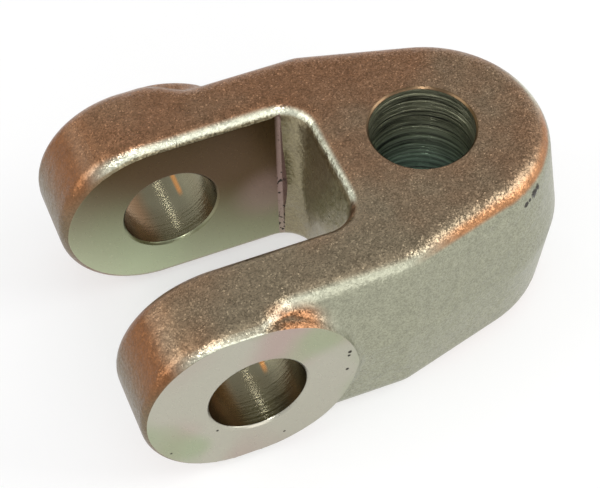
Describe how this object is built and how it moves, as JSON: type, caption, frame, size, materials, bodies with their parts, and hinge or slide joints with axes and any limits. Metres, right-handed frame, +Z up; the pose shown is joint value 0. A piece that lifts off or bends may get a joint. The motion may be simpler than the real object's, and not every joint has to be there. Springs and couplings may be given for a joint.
{
  "type": "clevis rod end",
  "caption": "Forged steel clevis rod end: bossed ears with a cross pin bore, a rounded throat, and a round body end bored at right angles to the pin.",
  "frame": {"origin": "centre of the fork pin bore, at mid thickness", "axes": "+X from the fork mouth to the body end, +Y along the fork pin bore, +Z up along the body bore"},
  "size_m": [0.1245, 0.0844, 0.052],
  "materials": {
    "clevis_body": "shot-blasted steel forging with yellow zinc plating, machined faces smooth"
  },
  "bodies": {
    "root": {"clevis_body": "clevis_body"}
  },
  "joints": []
}
